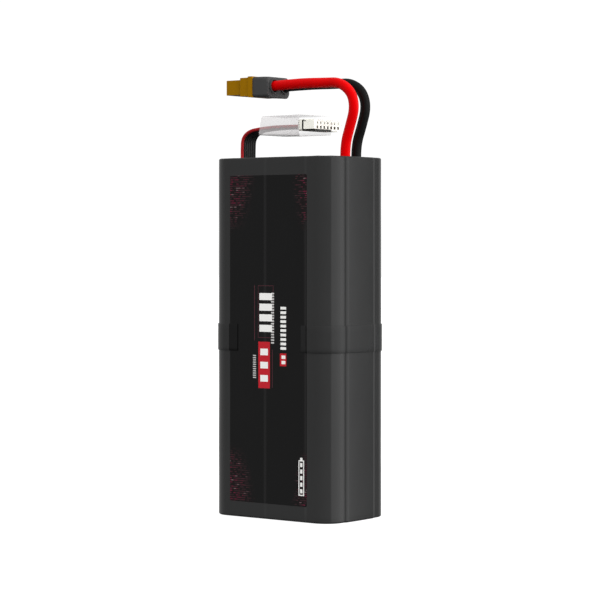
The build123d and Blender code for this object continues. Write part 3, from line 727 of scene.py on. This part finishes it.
# The CAD nodes that stay, by how their names begin, for each material.
CAD_SLOTS = {
    "cell_steel": ("cell_can", "cell_caps"),
    "electrode_roll": ("cell_cores",),
    "cell_gasket": ("cell_gaskets",),
    "cell_sleeve": ("cell_sleeves",),
    "ring_paper": ("cell_ring",),
    "insulating_sheet": ("bottom_sheet", "mid_sheet", "top_sheet"),
    "nickel_strip": ("strip_",),
    "tap_board": ("tap_board",),
    "foam": ("top_foam",),
    "lead_black": ("inner_lead_negative",),
    "lead_red": ("inner_lead_positive",),
    "tap_black": ("inner_tap_wires",),
    "gold_contact": ("connector_socket", "balance_plug_contacts"),
}


def paint(piece, slot):
    piece.data.materials.clear()
    piece.data.materials.append(PAINTS[slot].material)


def place_piece(piece, slot, *nodes):
    """Give a finished piece its material, its body and the CAD nodes that it stands for."""
    paint(piece, slot)
    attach(piece, BODY)
    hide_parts(*nodes)
    return piece


def place_mesh(piece, name, slot, node):
    """Name a mesh, bring it from millimetres to metres and place it for one CAD node."""
    piece.name = name
    for vertex in piece.data.vertices:
        vertex.co *= MM
    return place_piece(piece, slot, node)


def dress_cad_nodes():
    """Material for every CAD node that stays."""
    for slot, starts in CAD_SLOTS.items():
        for name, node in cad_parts.items():
            if name.startswith(starts):
                paint(node, slot)
                smoothed(node, 35)


# ---------------- sleeve, label, band, end plates

def wall_lift(x, y, z):
    """Very slight unevenness of the shrunk film, just inside its nominal face."""
    return 0.035 * ripple(x, y, z, 24.0, 3.1) + 0.012 * ripple(x, y, z, 7.0, 8.4) - 0.04


def pushed(x, y, z, amount):
    """Point moved away from the pack's axis by amount."""
    reach = math.hypot(x, y)
    return (x + amount * x / reach, y + amount * y / reach, z)


def wall_ring(offset, z, uneven=1.0):
    return [pushed(x, y, z, uneven * wall_lift(x, y, z)) for x, y in body_outline(offset)]


def lip_ring(share, z, window, wavy):
    """Ring of the film folded over an end: share is 0 at the rounded edge and 1 at its free edge."""
    ring = []
    for (x, y), (wx, wy) in zip(body_outline(-END_R), window):
        turn = math.atan2(y, x)
        edge = 1 + 0.09 * ripple(wx, wy, z, 5.0, 1.7) * share
        corner = max(0.0, math.sin(2 * abs(turn)) ** 2 - 0.35)
        fold = wavy * 0.16 * corner * math.sin(34 * turn) * math.sin(math.pi * min(1.0, share * 0.8 + 0.1))
        ring.append((x + (wx - x) * share * edge, y + (wy - y) * share * edge, z + fold))
    return ring


def make_sleeve():
    window = window_outline()
    edge_steps, wall_steps = 6, 62
    turns = [math.pi / 2 * i / edge_steps for i in range(1, edge_steps + 1)]
    rings = [lip_ring(share, 0.0, window, 0.0) for share in (1.0, 0.66, 0.33, 0.0)]
    rings += [wall_ring(-END_R * (1 - math.sin(t)), END_R * (1 - math.cos(t))) for t in turns]
    rings += [wall_ring(0.0, END_R + (HEIGHT - 2 * END_R) * i / wall_steps) for i in range(1, wall_steps)]
    rings += [wall_ring(-END_R * (1 - math.sin(t)), HEIGHT - END_R * (1 - math.cos(t))) for t in turns[::-1]]
    rings += [lip_ring(share, HEIGHT, window, 1.0) for share in (0.0, 0.2, 0.4, 0.6, 0.8, 1.0)]
    rings += [lip_ring(share, HEIGHT - FILM_T, window, 1.0) for share in (1.0, 0.5, 0.0)]
    rings += [wall_ring(-FILM_T, z, 0.0) for z in (HEIGHT - 1.2, HEIGHT * 0.66, HEIGHT * 0.33, 1.2)]
    rings += [lip_ring(share, FILM_T, window, 0.0) for share in (0.0, 0.5, 1.0)]
    piece = smoothed(mesh_object(*skin(rings, closed_across=True)))
    return place_mesh(piece, "shrink_sleeve", "wrap_film", "shrink_wrap")


def make_side_board(side, end):
    """Glass-fibre board under each raised strip, its outer upright edges well rounded."""
    node = "side_board_" + end
    low, high = box_mm(node)
    inner, outer = sorted((abs(low.x), abs(high.x)))
    half, r = STRIP_FAR + 0.6, 1.3
    outline = [(inner, -half)] + arc(outer - r, -half + r, r, -90, 0, 8) + arc(outer - r, half - r, r, 0, 90, 8)
    outline.append((inner, half))
    board = prism_z([(side * x, y) for x, y in outline], low.z, high.z)
    return place_mesh(softened(board, 0.1, 2, 50), "board_" + end, "glass_board", node)


def front_y(x, z):
    """Where the sleeve's front face lies, with its unevenness."""
    reach = math.hypot(x, HALF_DEPTH)
    return -HALF_DEPTH - wall_lift(x, -HALF_DEPTH, z) * HALF_DEPTH / reach


def label_stations(low, high, r, count):
    """Places across the label, closer together at its rounded corners."""
    rim = (0, 0.2, 0.4, r)
    inner = [low + r + (high - low - 2 * r) * i / count for i in range(1, count)]
    return [low + d for d in rim] + inner + [high - d for d in rim[::-1]]


def make_label():
    r = 0.6
    xs = label_stations(LABEL_LOW.x, LABEL_HIGH.x, r, 40)
    zs = label_stations(LABEL_LOW.z, LABEL_HIGH.z, r, 60)
    under = 0.01  # its back stands this far off the sleeve

    def rounded(x, z):
        """Pull the points of each corner's square onto its rounding."""
        cx = min(max(x, LABEL_LOW.x + r), LABEL_HIGH.x - r)
        cz = min(max(z, LABEL_LOW.z + r), LABEL_HIGH.z - r)
        a, b = x - cx, z - cz
        if a and b:
            scale = max(abs(a), abs(b)) / math.hypot(a, b)
            return cx + a * scale, cz + b * scale
        return x, z

    points, faces = [], []
    across, up = len(xs), len(zs)
    for lift in (LABEL_T, under):
        for z in zs:
            for x in xs:
                px, pz = rounded(x, z)
                at_rim = x in (xs[0], xs[-1]) or z in (zs[0], zs[-1])
                height = lift * 0.8 if at_rim and lift == LABEL_T else lift
                points.append((px, front_y(px, pz) - height, pz))
    size = across * up
    for j in range(up - 1):
        for i in range(across - 1):
            a = j * across + i
            faces.append((a, a + 1, a + across + 1, a + across))
            faces.append(tuple(size + k for k in (a + across, a + across + 1, a + 1, a)))
    rim = list(range(across)) + [j * across + across - 1 for j in range(1, up)]
    rim += [(up - 1) * across + i for i in range(across - 2, -1, -1)]
    rim += [j * across for j in range(up - 2, 0, -1)]
    for a, b in zip(rim, rim[1:] + rim[:1]):
        faces.append((a, size + a, size + b, b))
    piece = smoothed(mesh_object(points, faces), 40)
    return place_mesh(piece, "label_sheet", "label_film", "label_film")


def make_band():
    """Tape from one edge of the label round the back to the other, its edges slightly rounded."""
    z0, z1 = BAND_LOW.z, BAND_HIGH.z
    soft = 0.13
    section = [(0.0, z0), (BAND_T - soft, z0), (BAND_T - 0.3 * soft, z0 + 0.3 * soft), (BAND_T, z0 + soft)]
    section += [(BAND_T, z0 + (z1 - z0) * t) for t in (0.2, 0.4, 0.6, 0.8)]
    section += [(BAND_T, z1 - soft), (BAND_T - 0.3 * soft, z1 - 0.3 * soft), (BAND_T - soft, z1), (0.0, z1)]
    outlines = {offset: body_outline(offset) for offset, _ in section}
    plan = outlines[0.0]
    in_front = [y < -HALF_DEPTH + 1e-6 for _, y in plan]
    keep = [i for i, (x, _) in enumerate(plan) if not in_front[i] or abs(x) > BAND_OPEN_HALF]
    start = next(k for k, i in enumerate(keep) if in_front[i] and plan[i][0] > BAND_OPEN_HALF)
    order = keep[start:] + keep[:start]
    rings = []
    for k, i in enumerate(order):
        ring = []
        for offset, z in section:
            x, y = outlines[offset][i]
            if k == 0:
                x = BAND_OPEN_HALF
            elif k == len(order) - 1:
                x = -BAND_OPEN_HALF
            size, seed = (11.0, 5.5) if z > (z0 + z1) / 2 else (13.0, 9.5)
            px, py, _ = pushed(x, y, z, wall_lift(x, y, z))
            ring.append((px, py, z + 0.1 * ripple(x, y, 0.0, size, seed)))
        rings.append(ring)
    piece = smoothed(mesh_object(*skin(rings, caps=True)))
    return place_mesh(piece, "tape_band", "band_tape", "mid_band")


def plate_blank(z0, z1, grow):
    """Slab with the outline of the film's opening, grown by a margin."""
    return prism_z(rounded_rect(WINDOW_HALF_X + grow, WINDOW_HALF_Y + grow, WINDOW_R + grow, 12), z0, z1)


def make_top_plate():
    """Its middle stands in the film's opening, with a slot for the balance wires and two lead holes."""
    z0 = HEIGHT - PLATE_T
    rim = plate_blank(z0, HEIGHT - FILM_T - 0.05, PLATE_REBATE)
    plate = combine(rim, [plate_blank(z0, HEIGHT - 0.12, -PLATE_GAP)], "UNION")
    half_x = TAP_D / 2 + 0.15
    half_y = TAP_PITCH * (TAP_COUNT - 1) / 2 + half_x
    slot = [(x + TAP_EXIT_X, y) for x, y in rounded_rect(half_x, half_y, 0.8, 8)]
    holes = [circle(LEAD_EXIT_X, y, LEAD_D / 2 + 0.12) for y in (-LEAD_Y, LEAD_Y)]
    cutters = [prism_z(outline, z0 - 1, HEIGHT + 1) for outline in [slot] + holes]
    plate = softened(combine(plate, cutters, "DIFFERENCE"), 0.12, 2)
    return place_mesh(plate, "top_plate", "end_plate", "top_end_plate")


def make_bottom_plate():
    rim = plate_blank(FILM_T + 0.05, PLATE_T, PLATE_REBATE)
    plate = softened(combine(rim, [plate_blank(0.0, PLATE_T, -PLATE_GAP)], "UNION"), 0.15, 2)
    return place_mesh(plate, "bottom_plate", "end_plate", "bottom_end_plate")


# ---------------- main connector

def rod_x(y, z, x0, x1, r, sides=40):
    return prism_x(circle(y, z, r, sides), x0, x1)


def keyed_outline(section, inset=0.0):
    """Section of the connector: a rectangle with the two +y corners cut off."""
    half_y, half_z, cut = section
    half_y, half_z, z = half_y - inset, half_z - inset, AXIS_Z
    return [(-half_y, z - half_z), (half_y - cut, z - half_z), (half_y, z - half_z + cut),
            (half_y, z + half_z - cut), (half_y - cut, z + half_z), (-half_y, z + half_z)]


def make_housing():
    """Nose, body with a chamfered shoulder, and rear flange, bored for the two sockets."""
    shoulder, drop, overlap = 0.8, 0.7, 0.05
    rings = [[(x, y, z) for y, z in keyed_outline(SHELL_SECTION, inset)]
             for x, inset in ((NOSE_BACK, drop), (NOSE_BACK + shoulder, 0.0))]
    shell = prism_x(keyed_outline(SHELL_SECTION), NOSE_BACK + shoulder - overlap, SHELL_BACK)
    housing = combine(shell, [
        mesh_object(*skin(rings, caps=True)),
        prism_x(keyed_outline(NOSE_SECTION), NOSE_LOW.x, NOSE_BACK + 0.5),
        prism_x(keyed_outline(FLANGE_SECTION), SHELL_BACK - 0.02, FLANGE_BACK)], "UNION")
    cutters = [rod_x(y, AXIS_Z, NOSE_LOW.x - 1, FLANGE_BACK + 1, SOCKET_BORE_R) for y in (-SOCKET_Y, SOCKET_Y)]
    grip_pitch, grip, grip_reach = 1.1, 0.22, 5.0
    for z in (AXIS_Z - SHELL_SECTION[1], AXIS_Z + SHELL_SECTION[1]):
        for i in range(3):
            x = SHELL_BACK - grip_pitch * (i + 1)
            cutters.append(block(x - grip, x + grip, -grip_reach, grip_reach, z - grip, z + grip))
    housing = softened(combine(housing, cutters, "DIFFERENCE"), 0.18, 3)
    return place_mesh(housing, "connector_shell", "connector_nylon", "connector_housing")


def make_boot():
    """Rear cover: a slightly swelling block with a rounded back and a collar round each lead."""
    # x, half width, half height, corner radius and drop of the middle under the connector's axis
    stations = [(FLANGE_BACK + 0.02, 7.8, 4.45, 1.2, 0.1), (-18.3, 7.83, 4.5, 1.3, 0.16),
                (-14.8, 7.9, 4.6, 1.5, 0.3), (-12.7, 7.9, 4.65, 1.9, 0.44), (-12.1, 7.85, 4.6, 2.2, 0.48),
                (-11.75, 7.65, 4.4, 2.4, 0.5), (-11.6, 7.3, 4.05, 2.5, 0.5)]
    rings = [[(x, y, AXIS_Z - drop + z) for y, z in rounded_rect(half_y, half_z, r, 10)]
             for x, half_y, half_z, r, drop in stations]
    collar_r, bore_r, collar_z = 3.3, 2.7, AXIS_Z + COLLAR_LIFT
    boot = combine(mesh_object(*skin(rings, caps=True)), [
        rod_x(y, collar_z, BOOT_BACK - 1.6, BOOT_BACK, collar_r, 48) for y in (-COLLAR_Y, COLLAR_Y)], "UNION")
    cutters = [rod_x(y, collar_z, FLANGE_BACK + 3.5, BOOT_BACK + 1, bore_r, 48) for y in (-COLLAR_Y, COLLAR_Y)]
    room_y, room_z = 6.8, 3.45  # half width and height of the space for the solder cups
    cutters.append(block(FLANGE_BACK - 1, FLANGE_BACK + 4.0, -room_y, room_y, AXIS_Z - room_z, AXIS_Z + room_z))
    boot = softened(combine(boot, cutters, "DIFFERENCE"), 0.16, 3)
    return place_mesh(boot, "connector_boot_cover", "boot_grey", "connector_boot")


# ---------------- balance plug

def make_plug():
    """Seven-way housing: a cavity per contact, a latch window above each, two ribs on top and a rear rim."""
    rib_rise, rib_inset, rib_half = 0.2, 1.3, 0.5
    x0, x1, half = PLUG_LOW.x, PLUG_HIGH.x, PLUG_HIGH.y
    z0, top = PLUG_LOW.z, PLUG_HIGH.z - rib_rise
    parts = [block(x0, x0 + 0.9, -half + 0.5, half - 0.5, z0 + 0.35, top - 0.35)]
    for y in (rib_inset - half, half - rib_inset):
        parts.append(block(x0 + 0.9, x1 - 2.4, y - rib_half, y + rib_half, top - 0.3, top + rib_rise))
    plug = combine(block(x0 + 0.5, x1, -half, half, z0, top), parts, "UNION")
    wedges = []
    for side in (-1, 1):
        outline = [(half + 1, z0 - 1), (half - PLUG_SKIRT - 1, z0 - 1), (half + 1, z0 + PLUG_SKIRT + 1)]
        wedges.append(prism_x([(side * y, z) for y, z in outline], x0 - 1, x1 + 1))
    plug = combine(plug, wedges, "DIFFERENCE")
    groove = PLUG_GROOVE_X
    cutters = [block(groove, groove + PLUG_GROOVE, -half - 1, -half + 0.6, z0 - 1, top + 1),
               block(groove, groove + 2.2, -half - 1, -half + 0.5, top - 0.75, top - 0.35)]
    for i in range(TAP_COUNT):
        y = (i - (TAP_COUNT - 1) / 2) * PLUG_PITCH
        for start, end, reach, low, high in (
                (x0 + 1.5, x1 - 0.9, 0.8, z0 + 0.8, z0 + 3.0),  # cavity
                (x1 - 1.0, x1 + 1, 0.62, z0 + 0.85, z0 + 2.1),  # its mouth
                (x1 - 0.45, x1 + 1, 0.32, top - 2.0, top - 0.9)):  # latch window
            cutters.append(block(start, end, y - reach, y + reach, low, high))
        cutters.append(rod_x(y, PLUG_WAY_Z, x0 - 1, x0 + 2.6, TAP_D / 2 + 0.1, 20))
    plug = softened(combine(plug, cutters, "DIFFERENCE"), 0.1, 2)
    return place_mesh(plug, "balance_plug", "plug_nylon", "balance_plug_housing")


def make_clear_sleeve():
    """Thin clear sleeve with flattened sides, from the ribbon to the back of the plug."""
    x0, x1 = -15.0, 8.6
    wall, steps = 0.3, 30

    def ring(t, inset):
        low, high = CLEAR_LOW - t, CLEAR_HIGH + 0.1 * t
        r = 0.9 - 0.2 * t
        made = []
        for y, z in rounded_rect(CLEAR_HALF - inset, (high - low) / 2 - inset, r - inset, 6):
            across = y / CLEAR_HALF
            slant = 1.9 * (1 - t) * (z / (high - low) + 0.5) + 0.95 * across * t**2
            x = x0 + (x1 - x0) * t + slant
            z += 0.45 * (1 + across) * t if z < 0 else 0.0
            slack = 0.16 * ripple(x, y, z, 7.0, 4.2) * math.sin(math.pi * min(1.0, 1.1 - t))
            scale = 1 + slack / CLEAR_HALF
            made.append((x, y * scale, (low + high) / 2 + z * scale))
        return made

    shares = [i / steps for i in range(steps + 1)]
    rings = [ring(t, 0.0) for t in shares] + [ring(t, wall) for t in reversed(shares)]
    points, faces = skin(rings, closed_across=True)
    piece = mesh_object(points, faces)
    outer = piece.data.attributes.new("outer", "FLOAT", "POINT")
    for i, item in enumerate(outer.data):
        item.value = 1.0 if i < len(points) / 2 else 0.0
    return place_mesh(smoothed(piece), "clear_cover", "clear_film", "clear_sleeve")


# ---------------- cords

RED_ROUTE = [
    (LEAD_EXIT_X, -LEAD_Y, HEIGHT),
    (LEAD_EXIT_X, -4.0, 162.5),
    (30.6, -4.0, 170.2),
    (33.1, -4.0, 178.2),
    (31.2, -4.0, 185.0),
    (25.0, -4.0, 189.3),
    (17.0, -4.0, 189.45),
    (1.6, -4.0, 189.9),
    (-15.0, -SOCKET_Y, AXIS_Z),
]
BLACK_ROUTE = [
    (LEAD_EXIT_X, LEAD_Y, HEIGHT),
    (LEAD_EXIT_X, 4.0, 162.4),
    (30.9, 4.0, 170.3),
    (33.4, 4.0, 178.4),
    (31.4, 4.1, 185.3),
    (25.1, 4.2, 189.4),
    (17.0, 4.2, 189.3),
    (1.6, 4.0, 189.6),
    (-15.0, SOCKET_Y, AXIS_Z),
]


def tap_route(i):
    """Balance wire i: up out of the slot, over, and fanning out to its way in the plug."""
    place = i - (TAP_COUNT - 1) / 2
    near, far = place * TAP_PITCH, place * PLUG_PITCH
    spread = far - near
    return [
        (TAP_EXIT_X, near, HEIGHT),
        (TAP_EXIT_X, near, 161.5),
        (-28.9, near, 166.7),
        (-25.1, near + 0.01 * spread, 169.7),
        (-18.5, near + 0.08 * spread, 170.5),
        (-10.0, near + 0.45 * spread, 170.9),
        (-1.4, far, PLUG_WAY_Z),
        (PLUG_LOW.x, far, PLUG_WAY_Z),
    ]


def make_cord(name, route, diameter, slot, node):
    """Round cord along one smooth spline through the route's control points."""
    curve = bpy.data.curves.new(name, "CURVE")
    curve.dimensions = "3D"
    spline = curve.splines.new("NURBS")
    spline.points.add(len(route) - 1)
    for point, place in zip(spline.points, route):
        point.co = (*[value * MM for value in place], 1.0)
    spline.order_u = 3
    spline.use_endpoint_u = True
    spline.resolution_u = 12
    curve.bevel_depth = diameter / 2 * MM
    curve.bevel_resolution = 6
    curve.use_fill_caps = True
    cord = place_piece(link(name, curve), slot, node)


def make_cords():
    for name, route, length in (("lead_red", RED_ROUTE, 0.0760), ("lead_black", BLACK_ROUTE, 0.0764)):
        make_cord(name, route, LEAD_D, name, "main_" + name)
    for i in range(TAP_COUNT):
        make_cord(f"tap_wire_{i}", tap_route(i), TAP_D, "tap_black" if i else "tap_red", f"balance_wire_{i}")


# ---------------- stage, light, camera

def make_floor():
    """Plain pale floor that reads as white paper, with a faint shadow under the pack."""
    reach = 6.0
    mesh = bpy.data.meshes.new("floor")
    corners = [(x, y, 0) for x, y in ((-reach, -reach), (reach, -reach), (reach, reach), (-reach, reach))]
    mesh.from_pydata(corners, [], [(0, 1, 2, 3)])
    floor = link("floor", mesh)
    floor.location.z = CAD_BOX[0][2] - 0.0002
    net = Paint("floor_white")
    net.plain(Base_Color=(0.30, 0.30, 0.30, 1.0), Roughness=0.9, Emission_Color=(1.0, 1.0, 1.0, 1.0),
              Emission_Strength=0.86)
    mesh.materials.append(net.material)
    for kind in ("visible_diffuse", "visible_glossy", "visible_shadow", "visible_transmission"):
        setattr(floor, kind, False)


# What gloss mirrors, by azimuth in degrees: from and to, and the change there.
GLOSS_STEPS = (
    (-24.8, -23.4, 0.33, 0.82), (-15.0, 30.0, 0.0, 0.14), (44.5, 49.5, 0.0, -0.42), (49.5, 53.5, 0.0, -0.24),
    (53.5, 58.0, 0.0, -0.13), (60.0, 85.0, 0.0, 0.22), (100.0, 150.0, 0.0, 0.06), (-175.0, -125.0, 0.12, 0.0),
)


def make_world():
    """Studio surroundings by direction: soft light from all round, more from the right and little
    from below; gloss mirrors a dim room with one wide panel at the right.  The camera itself sees
    plain white."""
    world = bpy.data.worlds.new("studio")
    bpy.context.scene.world = world
    net = Net(world)
    net.nodes.clear()

    def ramp(value, *ends):
        return net.span(value, *ends, kind="SMOOTHSTEP")

    def sky(strength):
        node = net.nodes.new("ShaderNodeBackground")
        node.inputs["Color"].default_value = (1.0, 1.0, 1.0, 1.0)
        net.put(strength, node.inputs["Strength"])
        return node.outputs[0]

    def choose(switch, off, on):
        node = net.nodes.new("ShaderNodeMixShader")
        for value, socket in zip((switch, off, on), node.inputs):
            net.put(value, socket)
        return node.outputs[0]

    way = net.nodes.new("ShaderNodeTexCoord")
    split = net.nodes.new("ShaderNodeSeparateXYZ")
    net.put(way.outputs["Generated"], split.inputs[0])
    x, y, z = split.outputs
    azimuth = net.times(net.math("ARCTAN2", y, x), 180 / math.pi)
    mirrored = net.fold("ADD", [ramp(azimuth, *step) for step in GLOSS_STEPS])
    mirrored = net.times(mirrored, ramp(z, -0.45, -0.15, 0.15, 1.0))

    side = net.times(ramp(azimuth, -60.0, -5.0, 0.0, 1.0), ramp(azimuth, 50.0, 110.0, 1.0, 0.0))
    soft = net.times(net.math("ADD", 1.13, net.times(side, 2.3)), ramp(z, -0.35, 0.0, 0.04, 1.0),
                     ramp(z, 0.35, 0.95, 1.0, 0.72))

    path = net.nodes.new("ShaderNodeLightPath")
    lit = choose(path.outputs["Is Glossy Ray"], sky(soft), sky(mirrored))
    seen = choose(path.outputs["Is Camera Ray"], lit, sky(1.05))
    output = net.nodes.new("ShaderNodeOutputWorld")
    net.put(seen, output.inputs["Surface"])


def add_panel(name, place, aim, size, power):
    """Soft area light that the camera and the reflections don't see."""
    data = bpy.data.lights.new(name, "AREA")
    data.shape = "RECTANGLE"
    data.size, data.size_y = size
    data.energy = power
    lamp = link(name, data)
    lamp.location = place
    lamp.rotation_euler = (Vector(aim) - Vector(place)).to_track_quat("-Z", "Y").to_euler()
    lamp.visible_camera = False
    lamp.visible_glossy = False


def make_camera():
    data = bpy.data.cameras.new("camera")
    data.sensor_width = 36.0
    data.lens = 136.0
    data.shift_x = -0.00083
    data.shift_y = -0.0920
    data.clip_end = 50.0
    camera = link("camera", data)
    camera.location = (0.61126, -0.78998, 0.11896)
    camera.rotation_euler = (math.radians(90), 0.0, math.radians(37.71))
    bpy.context.scene.camera = camera


make_camera()
make_world()
make_floor()
middle = (0.0, 0.0, HEIGHT / 2 * MM)
add_panel("key_front", (-0.35, -1.5, 0.75), middle, (1.2, 1.0), 4.0)
add_panel("key_right", (1.5, -0.3, 0.6), middle, (1.0, 0.9), 4.0)

dress_cad_nodes()
make_sleeve()
make_label()
make_band()
make_top_plate()
make_bottom_plate()
make_side_board(1, "right")
make_side_board(-1, "left")
connector = [make_housing(), make_boot(), "connector_socket_positive", "connector_socket_negative"]
plug = [make_plug(), make_clear_sleeve(), "balance_plug_contacts"]
make_cords()

scene = bpy.context.scene
scene.view_settings.view_transform = "Standard"
scene.view_settings.look = "None"
